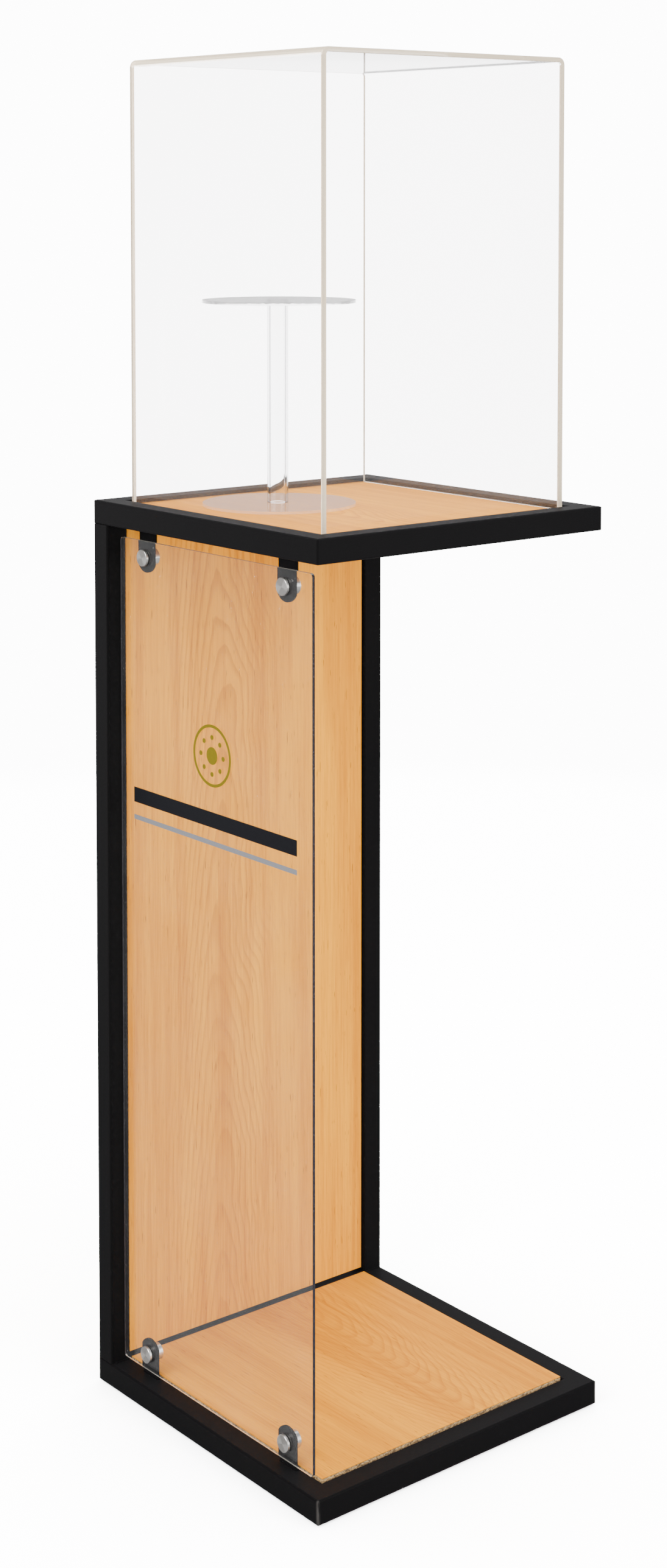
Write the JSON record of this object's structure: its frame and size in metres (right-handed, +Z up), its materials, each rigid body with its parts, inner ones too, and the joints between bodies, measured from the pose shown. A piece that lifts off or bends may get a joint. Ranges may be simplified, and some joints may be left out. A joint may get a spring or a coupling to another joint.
{
  "type": "display plinth",
  "caption": "Open-sided display plinth: square steel tube frame with maple laminate panels, a clear sign panel on tabs, and a clear lift-off cover over a round riser.",
  "frame": {"origin": "on the floor under the middle of the square base frame", "axes": "+Z up, -Y towards the side that carries the clear sign panel, -X towards the back panel and its uprights"},
  "size_m": [0.381, 0.381, 1.4327],
  "materials": {
    "frame_coat": "satin black powder coat with a fine texture",
    "pad_rubber": "matt black rubber",
    "washer_rubber": "smooth black rubber",
    "maple_laminate": "satin maple laminate with straight and cathedral grain",
    "chipboard": "raw sawn chipboard",
    "screw_steel": "zinc-plated steel",
    "fixing_steel": "spun stainless steel",
    "sign_acrylic": "clear polished acrylic",
    "gold_film": "printed gold film",
    "dark_film": "printed black film",
    "grey_film": "printed grey film",
    "cover_acrylic": "clear polished acrylic with bright edges",
    "riser_acrylic": "clear polished acrylic with bright edges"
  },
  "bodies": {
    "root": {"base_tube_front": "frame_coat", "base_tube_rear": "frame_coat", "base_tube_left": "frame_coat", "base_tube_right": "frame_coat", "top_tube_front": "frame_coat", "top_tube_rear": "frame_coat", "top_tube_left": "frame_coat", "top_tube_right": "frame_coat", "upright_front": "frame_coat", "upright_rear": "frame_coat", "base_gussets": "frame_coat", "deck_gussets": "frame_coat", "back_panel_ears": "frame_coat", "sign_tab_lower_left": "frame_coat", "sign_tab_lower_right": "frame_coat", "sign_tab_upper_left": "frame_coat", "sign_tab_upper_right": "frame_coat", "floor_pads": "pad_rubber", "fixing_front_washers": "washer_rubber", "fixing_back_washers": "washer_rubber", "base_panel_laminate": "maple_laminate", "deck_laminate": "maple_laminate", "deck_backer": "maple_laminate", "back_panel_face": "maple_laminate", "back_panel_rear_face": "maple_laminate", "base_panel_core": "chipboard", "deck_core": "chipboard", "back_panel_core": "chipboard", "base_panel_screws": "screw_steel", "deck_screws": "screw_steel", "back_panel_screws": "screw_steel", "fixing_caps": "fixing_steel", "fixing_barrels": "fixing_steel", "fixing_studs": "fixing_steel", "sign_panel": "sign_acrylic", "motif_rosette": "gold_film", "motif_dark_bar": "dark_film", "motif_light_bar": "grey_film"},
    "cover": {"cover_wrap": "cover_acrylic", "cover_end_left": "cover_acrylic", "cover_end_right": "cover_acrylic"},
    "riser": {"riser_base_disc": "riser_acrylic", "riser_tube": "riser_acrylic", "riser_top_disc": "riser_acrylic"}
  },
  "joints": [
    {"name": "cover_lift", "type": "slide", "parent": "root", "child": "cover", "axis": [0, 0, 1], "range_m": [0, 0.5]},
    {"name": "riser_lift", "type": "slide", "parent": "root", "child": "riser", "axis": [0, 0, 1], "range_m": [0, 0.15]}
  ]
}
